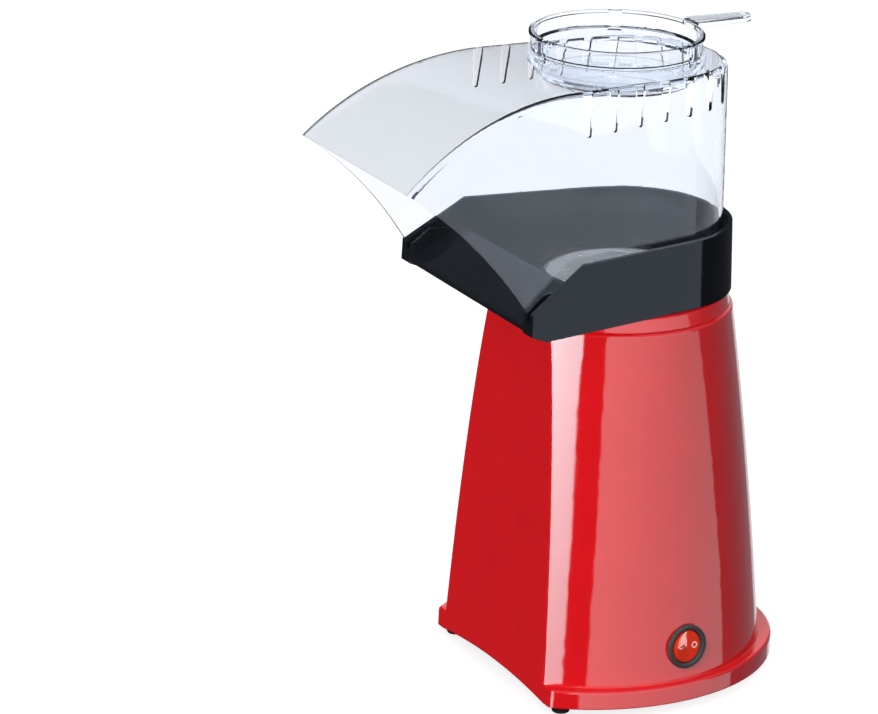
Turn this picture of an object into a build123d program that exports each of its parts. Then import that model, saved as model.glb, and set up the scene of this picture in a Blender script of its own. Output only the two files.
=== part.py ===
"""Hot-air popcorn maker: a tapered tower with a fan, heater and popping chamber inside,
a black spout tray on top, a clear lift-off hood over it and a clear measuring cup.

Millimetres, +Z up. The origin is on the floor below the axis of the measuring cup. -Y is the
spout side, +X the side with the switch, +Y the back.
"""

import os
from math import atan, cos, radians, sin, tan

from build123d import *

os.makedirs("parts", exist_ok=True)

# ---------------------------------------------------------------- driving dimensions
# Tower: ellipses (height, half width, half depth), all cut by one leaning front plane.
TOWER_STATIONS = [(13.0, 77.5, 85.6), (105.0, 71.4, 75.0), (197.5, 62.6, 61.2)]
NECK_STATIONS = [(195.0, 60.9, 60.3), (204.0, 57.6, 59.3)]
TOWER_Y = 3.2
TOWER_WALL = 2.4
FRONT_Y = -59.9
FRONT_LEAN = 0.048
SHOULDER_ROUND = 1.4
FRONT_EDGE_ROUND = 3.0

FLANGE_HALF_WIDTH = 81.5
FLANGE_HALF_DEPTH = 93.5
FLANGE_BOTTOM = 4.8
FLANGE_TOP = 14.6
FLANGE_ROUND = 1.6
ARCH_RISE = 3.8
ARCH_SPAN = 108.0

# The popping axis carries the chamber, the heater, the fan and the motor.
POPPING_Y = 11.2
DECK_TOP = 204.0
DECK_UNDER = 199.8
DECK_RECESS_R = 48.0
DECK_RECESS_DEPTH = 2.2
DECK_HOLE_R = 45.4
DECK_COLLAR_R = 49.6
DECK_COLLAR_WALL = 1.5
DECK_COLLAR_TOP = 210.4

# Tray: a round-backed outline whose sides flare towards the spout.
TRAY_R = 52.7
TRAY_FLARE = 0.16
TRAY_FRONT = -81.0
TRAY_BOTTOM = 204.4
TRAY_TOP = 239.5
TRAY_WALL = 2.4
TRAY_DRAFT = 1.6
TRAY_SLOPE_START = -50.0
TRAY_SLOPE_END_Z = 219.5
TRAY_GROOVE = 4.4
TRAY_INNER_WALL = 1.8
TRAY_INNER_TOP = 226.0
GROOVE_FLOOR = 214.4
GROOVE_FLOOR_THICK = 2.0
CHUTE_FLOOR = 213.0
CHUTE_CREST = (-54.5, 226.4)
CHUTE_LIP = (-81.0, 210.6)
CHUTE_THICK = 2.2
CHAMBER_MOUTH_R = 43.0
TRAY_HOLE_R = 43.9

# Hood: the same outline stood inside the tray's groove, leaning in towards the top.
HOOD_BOTTOM = 214.8
HOOD_TOP = 322.4
HOOD_WALL = 1.8
HOOD_LOFT_Z = 194.8
HOOD_LOW_R = 48.35
HOOD_HIGH_R = 46.6
HOOD_LOW_FLARE = 0.1935
HOOD_HIGH_FLARE = 0.055
HOOD_LOW_END = 66.0
HOOD_BEND_Y = -84.0
HOOD_HIGH_END = 55.6
HOOD_REACH = -150.0
HOOD_LIP = (-146.1, 284.6)
HOOD_MOUTH_MIDDLE = (-111.8, 255.9)
HOOD_MOUTH_FOOT = -79.6
HOOD_CROWN_START = -49.0
HOOD_EDGE_ROUND = 3.6
HOOD_RING_R = 44.6
HOOD_RING_WALL = 2.0
HOOD_RING_TOP = 327.4
VENT_PITCH = 15.1
VENT_BOTTOM = 303.3
VENT_RISE = 0.045
VENT_TOP_HALF = 3.0
VENT_BOTTOM_HALF = 1.2

# Measuring cup on the Z axis.
CUP_TOP = 337.0
CUP_RIM_R = 44.1
CUP_R = 43.0
CUP_STEP = 327.8
CUP_LOW_R = 41.4
CUP_WALL = 1.6
CUP_BOTTOM = 313.5
CUP_LUG_ANGLES = [31.0, 151.0, 271.0]
CUP_LUG_WIDTH = 7.0
CUP_LUG_BOTTOM = 326.6
CUP_LUG_NOTCH = 0.7
CUP_LUG_R = 45.2
HANDLE_TIP = 77.6
HANDLE_ROOT_HALF = 7.0
HANDLE_TIP_HALF = 4.2
HANDLE_TOP = 338.6
HANDLE_DEEP = 3.4
HANDLE_WALL = 1.5

# Rocker switch, square to the tower wall on the +X side.
SWITCH_SPOT = (76.9, 10.2, 32.6)
SWITCH_NORMAL = (0.994, 0.083, 0.075)
BEZEL_R = 11.5
BEZEL_LIFT = 2.0
BARREL_R = 9.9
BARREL_DEPTH = 15.0
ROCKER_BORE_R = 8.8
ROCKER_R = 8.45
ROCKER_PIVOT_DEPTH = 2.2
ROCKER_TILT = 8.0

# Underside and feet.
BASE_PLATE_Z = 10.0
BASE_PLATE_THICK = 2.5
FOOT_R = 5.4
FOOT_SPOTS = [(-56.5, -50.7), (56.5, -50.7), (-52.0, 58.0), (52.0, 58.0)]
BASE_SCREW_SPOTS = [(-63.5, 5.0), (61.0, -17.0), (-24.5, 69.5), (24.5, 69.5)]

BOSS_BOTTOM = 12.9
BOSS_HEIGHT = 9.0
BOSS_R = 3.6
BOSS_WEB = 9.0
SCREW_HOLE_R = 1.65
GLAND_SPOT = (0.0, 27.0)
GLAND_Y = 88.1
GLAND_HOLE_R = 6.5
GLAND_BORE_R = 3.6

# Chamber and heater. The chamber's lip stands up inside the hole in the tray's floor.
LIP_R = 42.4
LIP_BEAD_R = 43.3
LIP_TOP = 208.6
CHAMBER_BOTTOM = 128.0
CHAMBER_FLOOR_R = 33.0
CHAMBER_R = 39.0
CHAMBER_WALL = 1.2
LOUVRE_COUNT = 14
SHIELD_R = 49.0
SHIELD_BOTTOM = 126.0
COIL_HEIGHTS = [101.0, 109.0, 117.0]
COIL_R = 30.0
COIL_WIRE_R = 2.4
MICA_BOTTOM = 96.0
MICA_TOP = 122.0
MICA_HALF = 38.0

# Motor and fan.
MOTOR_SCREW_R = 10.0
BUSH_R = 3.2
FAN_BLADES = 14
MOTOR_R = 18.0
MOTOR_BOTTOM = 27.0
MOTOR_TOP = 58.5
SHAFT_R = 1.15
FAN_BOTTOM = 67.0
FAN_TOP = 83.0
FAN_R = 41.0
SHROUD_R = 43.6
SHROUD_WALL = 1.8
POST_RING_R = 50.0
POST_ANGLES = [60.0, 180.0, 300.0]
SPIDER_BOTTOM = 59.0
SPIDER_THICK = 3.0

# Insulated leads inside the tower: name, route and the radius of each bend.
LEAD_R = 1.2
LEADS = [
    ("supply_lead", [(3, 81, 27.5), (18, 76, 29), (44, 52, 27), (50, 32, 29), (50.8, 16.5, 30.6)],
     [9.0, 14.0, 9.0]),
    ("motor_lead", [(17.8, 15, 20.8), (29, 17, 18), (41, 13, 22), (50.6, 8.6, 30.2)], [8.0, 10.0]),
    ("heater_lead", [(51.5, 5, 30.5), (60, -8, 62), (48, -31, 112), (14, -47.2, 148), (4, -44, 156.2)],
     [25.0, 30.0, 6.0]),
]

# ---------------------------------------------------------------- shared planes and outlines
FRONT_NORMAL = (0.0, 1.0, -FRONT_LEAN)
CUP_AXIS = Axis.Z
CUP_PLANE = Plane.XZ
POPPING_AXIS = Axis((0, POPPING_Y, 0), (0, 0, 1))
POPPING_PLANE = Plane(origin=(0, POPPING_Y, 0), x_dir=(1, 0, 0), z_dir=(0, -1, 0))
SIDE_PLANE = Plane(origin=(0, 0, 0), x_dir=(0, 1, 0), z_dir=(1, 0, 0))
SWITCH_PLANE = Plane(origin=SWITCH_SPOT, x_dir=(-0.083, 0.994, 0), z_dir=SWITCH_NORMAL)


def front_plane(inset):
    """The leaning plane of the tower's face, moved back into the body by inset."""
    return Plane(origin=(0, FRONT_Y + inset, 0), x_dir=(1, 0, 0), z_dir=FRONT_NORMAL)


def outline_on(plane, points):
    """A closed polygon on a plane."""
    with BuildSketch(plane) as outline:
        with BuildLine():
            Polyline(*points, close=True)
        make_face()
    return outline.sketch


def disc(height, radius, centre=(0, POPPING_Y)):
    """A flat disc, on the popping axis unless told otherwise."""
    with BuildSketch(Plane.XY.offset(height)) as face:
        with Locations(centre):
            Circle(radius)
    return face.sketch


def ellipse(height, half_width, half_depth):
    """One cross-section of the tower before its face is cut flat."""
    with BuildSketch(Plane.XY.offset(height)) as face:
        with Locations((0, TOWER_Y)):
            Ellipse(half_width, half_depth)
    return face.sketch


def tray_outline(height, inset, front=TRAY_FRONT):
    """The tray's plan: a round back, flaring straight sides and a straight front."""
    radius = TRAY_R - inset
    lean = atan(TRAY_FLARE)
    side = (radius * cos(lean), POPPING_Y + radius * sin(lean))
    corner = (side[0] + TRAY_FLARE * (side[1] - front), front)
    with BuildSketch(Plane.XY.offset(height)) as outline:
        with BuildLine():
            Line(side, corner)
            Line(corner, (-corner[0], front))
            Line((-corner[0], front), (-side[0], side[1]))
            ThreePointArc((-side[0], side[1]), (0, POPPING_Y + radius), side)
        make_face()
    return outline.sketch


def hood_outline(height, radius, flare, end_width):
    """The hood's plan at one height: a round back, flaring sides that bend to end_width."""
    lean = atan(flare)
    side = (radius * cos(lean), POPPING_Y + radius * sin(lean))
    bend = (side[0] + flare * (side[1] - HOOD_BEND_Y), HOOD_BEND_Y)
    pull = (bend[0] + flare * 6, HOOD_BEND_Y - 6)
    corner = (end_width, HOOD_REACH)
    with BuildSketch(Plane.XY.offset(height)) as outline:
        with BuildLine():
            Line(side, bend)
            Bezier(bend, pull, corner)
            Line(corner, (-corner[0], corner[1]))
            Bezier((-corner[0], corner[1]), (-pull[0], pull[1]), (-bend[0], bend[1]))
            Line((-bend[0], bend[1]), (-side[0], side[1]))
            ThreePointArc((-side[0], side[1]), (0, POPPING_Y + radius), side)
        make_face()
    return outline.sketch


def hood_side_view(inset, overrun):
    """The hood seen from the side; inset lowers its roof, overrun clears mouth and foot."""
    crown = (HOOD_CROWN_START, HOOD_TOP - inset)
    lip = (HOOD_LIP[0] + inset * 0.6 - overrun, HOOD_LIP[1] - inset * 0.8 - overrun * 0.95)
    foot = (HOOD_MOUTH_FOOT - overrun, HOOD_BOTTOM - overrun)
    middle = (HOOD_MOUTH_MIDDLE[0] - overrun, HOOD_MOUTH_MIDDLE[1] - overrun)
    back = POPPING_Y + HOOD_LOW_R + 10
    with BuildSketch(SIDE_PLANE) as view:
        with BuildLine():
            TangentArc(crown, lip, tangent=(-1, 0))
            ThreePointArc(lip, middle, foot)
            Polyline(foot, (back, foot[1]), (back, crown[1]), crown)
        make_face()
    return view.sketch


def hood_form(inset, overrun, edge_round):
    """The hood as a solid, drawn in by inset, with its roof edge rounded."""
    with BuildPart() as form:
        add(hood_outline(HOOD_LOFT_Z, HOOD_LOW_R - inset, HOOD_LOW_FLARE, HOOD_LOW_END - inset))
        add(hood_outline(HOOD_TOP, HOOD_HIGH_R - inset, HOOD_HIGH_FLARE, HOOD_HIGH_END - inset))
        loft(ruled=True)
        extrude(hood_side_view(inset, overrun), amount=90, both=True, mode=Mode.INTERSECT)
        upper = edges().filter_by(lambda edge: edge.center().Z > HOOD_LIP[1] + 8)
        fillet(upper.filter_by(Axis.X, reverse=True), edge_round)
    return form.part


def vent_places():
    """For each vent in the hood's shoulder: a plane square to the wall there, a reach and a foot."""
    for side, first_y, count in ((1, 1.6, 4), (-1, 9.2, 5)):
        for step in range(count):
            spot_y = first_y - VENT_PITCH * step
            spot_x = HOOD_HIGH_R + HOOD_HIGH_FLARE * (POPPING_Y - spot_y)
            spot = (side * spot_x, spot_y, 0)
            foot = VENT_BOTTOM + VENT_RISE * spot_y
            yield Plane(origin=spot, x_dir=(0, side, 0), z_dir=(side, 0, 0)), 2.4, foot
    for step in range(10):
        turn = radians(6.0 + step * 17.5)
        spot = (HOOD_HIGH_R * cos(turn), POPPING_Y + HOOD_HIGH_R * sin(turn), 0)
        out = (cos(turn), sin(turn), 0)
        foot = VENT_BOTTOM + VENT_RISE * spot[1]
        yield Plane(origin=spot, x_dir=(-out[1], out[0], 0), z_dir=out), 3.0, foot


# ---------------------------------------------------------------- tower shell
with BuildPart() as tower_core:
    for height, half_width, half_depth in TOWER_STATIONS:
        add(ellipse(height, half_width - TOWER_WALL, half_depth - TOWER_WALL))
    loft()
    extrude(
        ellipse(0, FLANGE_HALF_WIDTH - TOWER_WALL, FLANGE_HALF_DEPTH - TOWER_WALL),
        amount=TOWER_STATIONS[0][0] + 0.1,
    )
    for height, half_width, half_depth in NECK_STATIONS:
        add(ellipse(height, half_width - TOWER_WALL, half_depth - TOWER_WALL))
    loft()
    split(bisect_by=front_plane(TOWER_WALL), keep=Keep.TOP)
    split(bisect_by=Plane.XY.offset(DECK_UNDER), keep=Keep.BOTTOM)

with BuildPart() as flange:
    extrude(
        ellipse(FLANGE_BOTTOM, FLANGE_HALF_WIDTH, FLANGE_HALF_DEPTH),
        amount=FLANGE_TOP - FLANGE_BOTTOM,
    )
    split(bisect_by=front_plane(0), keep=Keep.TOP)
    fillet(edges().filter_by(lambda edge: 8 < edge.length < 11), FRONT_EDGE_ROUND)
    fillet(edges().group_by(Axis.Z)[-1].sort_by(SortBy.LENGTH)[-1], FLANGE_ROUND)

with BuildPart() as neck:
    for height, half_width, half_depth in NECK_STATIONS:
        add(ellipse(height, half_width, half_depth))
    loft()
    split(bisect_by=front_plane(0), keep=Keep.TOP)
    fillet(edges().filter_by(lambda edge: 8 < edge.length < 12), FRONT_EDGE_ROUND)

with BuildPart() as body_shell:
    for height, half_width, half_depth in TOWER_STATIONS:
        add(ellipse(height, half_width, half_depth))
    loft()
    split(bisect_by=front_plane(0), keep=Keep.TOP)
    fillet(edges().filter_by(lambda edge: edge.bounding_box().size.Z > 150), FRONT_EDGE_ROUND)
    fillet(edges().group_by(Axis.Z)[-1].sort_by(SortBy.LENGTH)[-1], SHOULDER_ROUND)
    add(flange.part)
    add(neck.part)
    add(tower_core.part, mode=Mode.SUBTRACT)
    # Deck: a recess for the chamber's rim, its hole, and a half ring that centres the tray.
    extrude(disc(DECK_TOP, DECK_RECESS_R), amount=-DECK_RECESS_DEPTH, mode=Mode.SUBTRACT)
    extrude(disc(DECK_TOP, DECK_HOLE_R), amount=-10, mode=Mode.SUBTRACT)
    extrude(disc(DECK_TOP, DECK_COLLAR_R), amount=DECK_COLLAR_TOP - DECK_TOP)
    extrude(
        disc(DECK_TOP, DECK_COLLAR_R - DECK_COLLAR_WALL),
        amount=DECK_COLLAR_TOP - DECK_TOP,
        mode=Mode.SUBTRACT,
    )
    with BuildSketch(Plane.XY.offset(DECK_TOP)):
        with Locations((0, POPPING_Y - 50)):
            Rectangle(120, 100)
    extrude(amount=20, mode=Mode.SUBTRACT)
    # Low arch under the face.
    arch_radius = (ARCH_SPAN**2 / 4 + ARCH_RISE**2) / (2 * ARCH_RISE)
    with BuildSketch(Plane.XZ.offset(45)):
        with Locations((0, FLANGE_BOTTOM + ARCH_RISE - arch_radius)):
            Circle(arch_radius)
    extrude(amount=30, mode=Mode.SUBTRACT)
    # Seat and hole for the switch, and the hole for the cord gland.
    with BuildSketch(SWITCH_PLANE.offset(-0.8)):
        Circle(BEZEL_R + 0.3)
    extrude(amount=4, mode=Mode.SUBTRACT)
    with BuildSketch(SWITCH_PLANE.offset(-12)):
        Circle(BARREL_R + 0.25)
    extrude(amount=16, mode=Mode.SUBTRACT)
    with BuildSketch(Plane.XZ.offset(-(POPPING_Y + 60))):
        with Locations(GLAND_SPOT):
            Circle(GLAND_HOLE_R)
    extrude(amount=-40, mode=Mode.SUBTRACT)
    # Bosses that take the base screws.
    for spot in BASE_SCREW_SPOTS:
        with BuildSketch(Plane.XY.offset(BOSS_BOTTOM)):
            with Locations(spot):
                Circle(BOSS_R)
                Circle(SCREW_HOLE_R, mode=Mode.SUBTRACT)
        extrude(amount=BOSS_HEIGHT)
        web_way = Vector(spot[0], spot[1] - TOWER_Y).normalized()
        web = Plane(origin=(spot[0], spot[1], BOSS_BOTTOM), x_dir=web_way)
        with BuildSketch(web):
            with Locations((BOSS_R + BOSS_WEB / 2 - 0.5, 0)):
                Rectangle(BOSS_WEB, 2.0)
        extrude(amount=BOSS_HEIGHT)
body_shell.part.label = "body_shell"
export_step(body_shell.part, "parts/body_shell.step")

# ---------------------------------------------------------------- underside
with BuildPart() as base_plate:
    extrude(
        ellipse(BASE_PLATE_Z, FLANGE_HALF_WIDTH - TOWER_WALL - 0.4, FLANGE_HALF_DEPTH - TOWER_WALL - 0.4),
        amount=BASE_PLATE_THICK,
    )
    split(bisect_by=front_plane(TOWER_WALL + 0.4), keep=Keep.TOP)
    # Air intake: a ring of slots under the motor.
    with BuildSketch(Plane.XY.offset(BASE_PLATE_Z)):
        with Locations((0, POPPING_Y)):
            with PolarLocations(27.0, 16):
                SlotOverall(20.0, 4.0)
            with PolarLocations(8.0, 6):
                Circle(1.8)
    extrude(amount=BASE_PLATE_THICK, mode=Mode.SUBTRACT)
    # Screw holes, and a socket boss on the underside for each foot.
    with BuildSketch(Plane.XY.offset(BASE_PLATE_Z)):
        with Locations(BASE_SCREW_SPOTS):
            Circle(1.9)
    extrude(amount=BASE_PLATE_THICK, mode=Mode.SUBTRACT)
    with BuildSketch(Plane.XY.offset(BASE_PLATE_Z)):
        with Locations(FOOT_SPOTS):
            Circle(FOOT_R + 0.6)
            Circle(FOOT_R - 0.45, mode=Mode.SUBTRACT)
    extrude(amount=-3.5)
    # Posts that carry the fan shroud, with screw holes from above.
    with BuildSketch(Plane.XY.offset(BASE_PLATE_Z + BASE_PLATE_THICK)):
        for angle in POST_ANGLES:
            turn = radians(angle)
            with Locations((POST_RING_R * cos(turn), POPPING_Y + POST_RING_R * sin(turn))):
                Circle(4.5)
                Circle(SCREW_HOLE_R, mode=Mode.SUBTRACT)
    extrude(amount=SPIDER_BOTTOM - BASE_PLATE_Z - BASE_PLATE_THICK)
base_plate.part.label = "base_plate"
export_step(base_plate.part, "parts/base_plate.step")

with BuildPart() as foot_profile:
    with BuildSketch(Plane.XY):
        Circle(FOOT_R - 0.8)
    extrude(amount=BASE_PLATE_Z, taper=-1.5)
    fillet(edges().group_by(Axis.Z)[0], 1.0)

with BuildPart() as feet:
    with Locations(FOOT_SPOTS):
        add(foot_profile.part)
feet.part.label = "feet"
export_step(feet.part, "parts/feet.step")

with BuildPart() as base_screws:
    for spot in BASE_SCREW_SPOTS:
        extrude(disc(BASE_PLATE_Z - 2.2, 3.2, spot), amount=2.2)
        extrude(disc(BASE_PLATE_Z, 1.6, spot), amount=BASE_PLATE_THICK + 8)
        with BuildSketch(Plane.XY.offset(BASE_PLATE_Z - 2.2)):
            with Locations(spot):
                Rectangle(3.6, 0.8)
                Rectangle(0.8, 3.6)
        extrude(amount=1.2, mode=Mode.SUBTRACT)
base_screws.part.label = "base_screws"
export_step(base_screws.part, "parts/base_screws.step")

with BuildPart() as cord_gland:
    gland_plane = Plane(
        origin=(GLAND_SPOT[0], GLAND_Y, GLAND_SPOT[1]), x_dir=(1, 0, 0), z_dir=(0, 1, 0)
    )
    gland_turn = Axis((GLAND_SPOT[0], GLAND_Y, GLAND_SPOT[1]), (0, 1, 0))
    gland_half = Plane(
        origin=(GLAND_SPOT[0], GLAND_Y, GLAND_SPOT[1]), x_dir=(1, 0, 0), z_dir=(0, 0, 1)
    )
    gland_outline = [
        (GLAND_BORE_R, -6.0),
        (GLAND_HOLE_R + 1.2, -6.0),
        (GLAND_HOLE_R + 1.2, -4.2),
        (GLAND_HOLE_R - 0.1, -4.2),
        (GLAND_HOLE_R - 0.1, 0.6),
        (GLAND_HOLE_R + 2.0, 0.6),
        (GLAND_HOLE_R + 1.2, 2.6),
        (GLAND_BORE_R, 2.6),
    ]
    revolve(outline_on(gland_half, gland_outline), axis=gland_turn)
cord_gland.part.label = "cord_gland"
export_step(cord_gland.part, "parts/cord_gland.step")

# ---------------------------------------------------------------- rocker switch
SWITCH_AXIS = Axis(SWITCH_SPOT, SWITCH_NORMAL)
SWITCH_HALF = Plane(
    origin=SWITCH_SPOT, x_dir=SWITCH_PLANE.x_dir, z_dir=-SWITCH_PLANE.y_dir
)
with BuildPart() as switch_housing:
    housing_outline = [
        (ROCKER_BORE_R, BEZEL_LIFT - 0.8),
        (ROCKER_BORE_R + 0.8, BEZEL_LIFT - 0.8),
        (BEZEL_R, BEZEL_LIFT - 0.8),
        (BEZEL_R, -0.8),
        (BARREL_R, -0.8),
        (BARREL_R, -BARREL_DEPTH),
        (0, -BARREL_DEPTH),
        (0, -BARREL_DEPTH + 2.5),
        (ROCKER_BORE_R, -BARREL_DEPTH + 2.5),
    ]
    revolve(outline_on(SWITCH_HALF, housing_outline), axis=SWITCH_AXIS)
    fillet(edges().group_by(SWITCH_AXIS)[-1], 1.2)
switch_housing.part.label = "switch_housing"
export_step(switch_housing.part, "parts/switch_housing.step")

with BuildPart() as switch_rocker:
    pivot = SWITCH_PLANE.offset(-ROCKER_PIVOT_DEPTH)
    lean = radians(ROCKER_TILT)
    resting = Plane(
        origin=pivot.origin,
        x_dir=pivot.x_dir * cos(lean) - pivot.z_dir * sin(lean),
        z_dir=pivot.z_dir * cos(lean) + pivot.x_dir * sin(lean),
    )
    with Locations(resting):
        Sphere(ROCKER_R)
    wing_drop = tan(radians(ROCKER_TILT)) * ROCKER_R
    rocker_view = Plane(origin=resting.origin, x_dir=resting.x_dir, z_dir=-resting.y_dir)
    rocker_outline = [
        (-ROCKER_R, 3.2),
        (0, 3.2 - wing_drop),
        (ROCKER_R, 3.2),
        (ROCKER_R, -2.4),
        (2.0, -5.0),
        (-2.0, -5.0),
        (-ROCKER_R, -2.4),
    ]
    extrude(
        outline_on(rocker_view, rocker_outline), amount=ROCKER_R, both=True, mode=Mode.INTERSECT
    )
switch_rocker.part.label = "switch_rocker"
export_step(switch_rocker.part, "parts/switch_rocker.step")

with BuildPart() as switch_terminals:
    with BuildSketch(SWITCH_PLANE.offset(-BARREL_DEPTH)):
        with Locations((-5.5, 0), (0, 3.5), (5.5, 0)):
            Rectangle(0.8, 4.8)
    extrude(amount=-9.0)
switch_terminals.part.label = "switch_terminals"
export_step(switch_terminals.part, "parts/switch_terminals.step")

# ---------------------------------------------------------------- chamber and heater
RIM_TOP = DECK_TOP - DECK_RECESS_DEPTH + 2.4
with BuildPart() as chamber_gasket:
    extrude(disc(DECK_TOP - DECK_RECESS_DEPTH, DECK_RECESS_R - 0.3), amount=1.2)
    extrude(
        disc(DECK_TOP - DECK_RECESS_DEPTH, CHAMBER_MOUTH_R + 1.0), amount=1.2, mode=Mode.SUBTRACT
    )
chamber_gasket.part.label = "chamber_gasket"
export_step(chamber_gasket.part, "parts/chamber_gasket.step")

with BuildPart() as popping_chamber:
    wall = CHAMBER_WALL
    chamber_outline = [
        (0, CHAMBER_BOTTOM),
        (CHAMBER_FLOOR_R, CHAMBER_BOTTOM),
        (CHAMBER_R, CHAMBER_BOTTOM + 9),
        (CHAMBER_MOUTH_R - 1.0, RIM_TOP - wall),
        (DECK_RECESS_R - 0.4, RIM_TOP - wall),
        (DECK_RECESS_R - 0.4, RIM_TOP),
        (LIP_R, RIM_TOP),
        (LIP_R, LIP_TOP - 1.4),
        (LIP_BEAD_R, LIP_TOP - 1.0),
        (LIP_BEAD_R, LIP_TOP - 0.2),
        (LIP_BEAD_R - 0.4, LIP_TOP),
        (LIP_R - wall, LIP_TOP),
        (LIP_R - wall, RIM_TOP - 1),
        (CHAMBER_R - wall, CHAMBER_BOTTOM + 9.6),
        (CHAMBER_FLOOR_R - 0.6, CHAMBER_BOTTOM + wall),
        (0, CHAMBER_BOTTOM + wall),
    ]
    revolve(outline_on(POPPING_PLANE, chamber_outline), axis=POPPING_AXIS)
    # Slanted slots round the lower wall let the hot air in with a swirl.
    for index in range(LOUVRE_COUNT):
        turn = radians(index * 360.0 / LOUVRE_COUNT)
        louvre = Plane(
            origin=(CHAMBER_R * cos(turn), POPPING_Y + CHAMBER_R * sin(turn), CHAMBER_BOTTOM + 18),
            x_dir=(-sin(turn), cos(turn), 0),
            z_dir=(cos(turn), sin(turn), 0),
        )
        with BuildSketch(louvre):
            SlotOverall(12.0, 2.2, rotation=62)
        extrude(amount=5, both=True, mode=Mode.SUBTRACT)
popping_chamber.part.label = "popping_chamber"
export_step(popping_chamber.part, "parts/popping_chamber.step")

with BuildPart() as heat_shield:
    shield_outline = [
        (SHIELD_R - 1.0, SHIELD_BOTTOM),
        (SHIELD_R, SHIELD_BOTTOM),
        (SHIELD_R, DECK_UNDER - 0.3),
        (DECK_HOLE_R + 0.3, DECK_UNDER - 0.3),
        (DECK_HOLE_R + 0.3, DECK_UNDER - 1.3),
        (SHIELD_R - 1.0, DECK_UNDER - 1.3),
    ]
    revolve(outline_on(POPPING_PLANE, shield_outline), axis=POPPING_AXIS)
heat_shield.part.label = "heat_shield"
export_step(heat_shield.part, "parts/heat_shield.step")

with BuildPart() as heater_coils:
    for height in COIL_HEIGHTS:
        with BuildSketch(POPPING_PLANE):
            with Locations((COIL_R, height)):
                Circle(COIL_WIRE_R)
                Circle(COIL_WIRE_R - 1.0, mode=Mode.SUBTRACT)
        revolve(axis=POPPING_AXIS)
heater_coils.part.label = "heater_coils"
export_step(heater_coils.part, "parts/heater_coils.step")

for board_name, board_turn, notch_side in (("mica_board_x", 0, 1), ("mica_board_y", 90, -1)):
    board_plane = Plane(
        origin=(0, POPPING_Y, 0),
        x_dir=(cos(radians(board_turn)), sin(radians(board_turn)), 0),
        z_dir=(sin(radians(board_turn)), -cos(radians(board_turn)), 0),
    )
    with BuildPart() as mica_board:
        middle = (MICA_BOTTOM + MICA_TOP) / 2
        with BuildSketch(board_plane):
            with Locations((0, middle)):
                Rectangle(2 * MICA_HALF, MICA_TOP - MICA_BOTTOM)
            for height in COIL_HEIGHTS:
                with Locations((-COIL_R, height), (COIL_R, height)):
                    Circle(COIL_WIRE_R + 0.4, mode=Mode.SUBTRACT)
            with Locations((0, middle + notch_side * (MICA_TOP - MICA_BOTTOM) / 4)):
                Rectangle(1.6, (MICA_TOP - MICA_BOTTOM) / 2 + 0.4, mode=Mode.SUBTRACT)
        extrude(amount=0.5, both=True)
    mica_board.part.label = board_name
    export_step(mica_board.part, f"parts/{board_name}.step")

with BuildPart() as thermostat:
    thermostat_plane = Plane(
        origin=(0, POPPING_Y - SHIELD_R - 0.3, 158), x_dir=(1, 0, 0), z_dir=(0, -1, 0)
    )
    with BuildSketch(thermostat_plane):
        Circle(7.5)
    extrude(amount=4.0)
    with BuildSketch(thermostat_plane):
        SlotOverall(28, 6)
    extrude(amount=0.8)
    with BuildSketch(thermostat_plane.offset(4.0)):
        with Locations((-4.0, 0), (4.0, 0)):
            Rectangle(3.2, 0.8)
    extrude(amount=3.2)
thermostat.part.label = "thermostat"
export_step(thermostat.part, "parts/thermostat.step")

with BuildPart() as thermal_fuse:
    fuse_plane = Plane(
        origin=(-7, POPPING_Y - SHIELD_R - 3.4, 178), x_dir=(0, 1, 0), z_dir=(1, 0, 0)
    )
    with BuildSketch(fuse_plane):
        Circle(2.0)
    extrude(amount=14)
    with BuildSketch(fuse_plane.offset(-9)):
        Circle(0.5)
    extrude(amount=32)
thermal_fuse.part.label = "thermal_fuse"
export_step(thermal_fuse.part, "parts/thermal_fuse.step")

# ---------------------------------------------------------------- fan and motor
with BuildPart() as fan_shroud:
    shroud_outline = [
        (SHROUD_R, SPIDER_BOTTOM + SPIDER_THICK),
        (SHROUD_R + SHROUD_WALL, SPIDER_BOTTOM + SPIDER_THICK),
        (SHROUD_R + SHROUD_WALL, FAN_TOP + 8),
        (SHIELD_R + 0.2, SHIELD_BOTTOM - 12),
        (SHIELD_R + 0.2, SHIELD_BOTTOM - 0.3),
        (SHIELD_R - SHROUD_WALL, SHIELD_BOTTOM - 0.3),
        (SHIELD_R - SHROUD_WALL, SHIELD_BOTTOM - 12),
        (SHROUD_R, FAN_TOP + 8.8),
    ]
    revolve(outline_on(POPPING_PLANE, shroud_outline), axis=POPPING_AXIS)
    for angle in POST_ANGLES:
        ear = Plane(
            origin=(0, POPPING_Y, SPIDER_BOTTOM + SPIDER_THICK),
            x_dir=(cos(radians(angle)), sin(radians(angle)), 0),
        )
        with BuildSketch(ear):
            with Locations(((SHROUD_R + POST_RING_R) / 2 + 3, 0)):
                SlotOverall(12.5, 9)
            with Locations((POST_RING_R, 0)):
                Circle(1.9, mode=Mode.SUBTRACT)
        extrude(amount=3)
fan_shroud.part.label = "fan_shroud"
export_step(fan_shroud.part, "parts/fan_shroud.step")

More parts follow.
